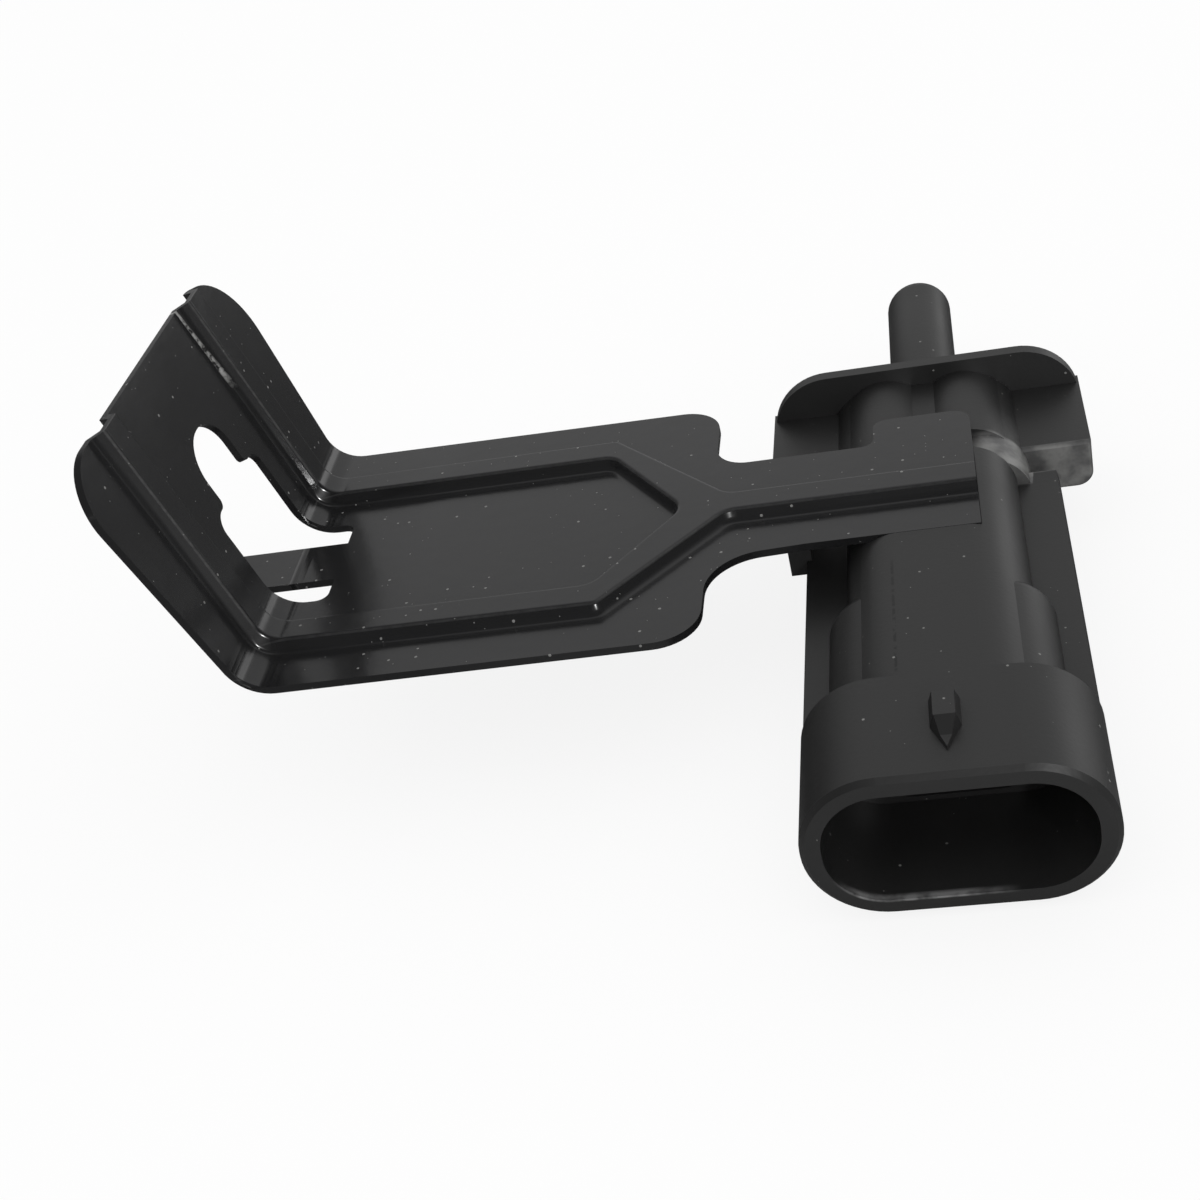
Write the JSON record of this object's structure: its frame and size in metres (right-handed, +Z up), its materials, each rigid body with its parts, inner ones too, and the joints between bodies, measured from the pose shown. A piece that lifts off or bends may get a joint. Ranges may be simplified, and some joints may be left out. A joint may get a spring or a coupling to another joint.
{
  "type": "intake air temperature sensor",
  "caption": "Black air temperature sensor: moulded housing with a blade socket and closed round probe, carried on the ribbed arm of a bent steel bracket with a keyhole.",
  "frame": {"origin": "middle of the socket's mouth, in the mouth's plane", "axes": "+X from the bracket's wall along its arm to the housing, +Y from the mouth to the probe's tip, +Z up, the way the bracket's wall is bent"},
  "size_m": [0.0831, 0.0868, 0.0362],
  "materials": {
    "coated_steel": "semi-gloss black coating on stamped steel",
    "housing_plastic": "black moulded plastic with a satin sheen",
    "carrier_plastic": "matt black moulded plastic",
    "tinned_brass": "tin-plated blade",
    "lead_wire": "plain drawn wire",
    "sleeve_plastic": "off-white tubing",
    "bead_coat": "dipped resin over the sensing chip",
    "fill_resin": "cast compound"
  },
  "bodies": {
    "root": {"bracket": "coated_steel", "housing": "housing_plastic", "carrier": "carrier_plastic", "terminal_left": "tinned_brass", "terminal_right": "tinned_brass", "lead_left": "lead_wire", "lead_right": "lead_wire", "sleeve_left": "sleeve_plastic", "sleeve_right": "sleeve_plastic", "thermistor_bead": "bead_coat", "probe_fill": "fill_resin"}
  },
  "joints": []
}
